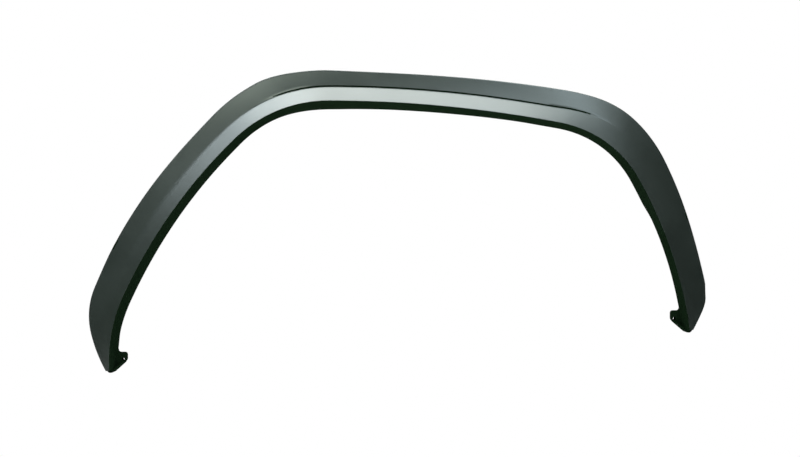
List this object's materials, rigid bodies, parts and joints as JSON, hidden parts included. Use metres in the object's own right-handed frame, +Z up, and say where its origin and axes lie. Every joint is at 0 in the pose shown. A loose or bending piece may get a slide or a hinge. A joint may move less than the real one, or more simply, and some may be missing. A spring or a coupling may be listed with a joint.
{
  "type": "wheel-arch moulding",
  "caption": "Dark grained plastic flare that trims and widens a car's wheel opening, with a creased face, a return flange and a screw tab on each foot.",
  "frame": {"origin": "on the axis of the left foot's screw hole, in the plane of the car body's side there", "axes": "+X along the car from the left foot to the right foot, +Z up, -Y outboard from the car body"},
  "size_m": [0.9294, 0.0462, 0.4535],
  "materials": {
    "plastic": "fine moulded grain, satin"
  },
  "bodies": {
    "root": {"arch_moulding": "plastic"}
  },
  "joints": []
}
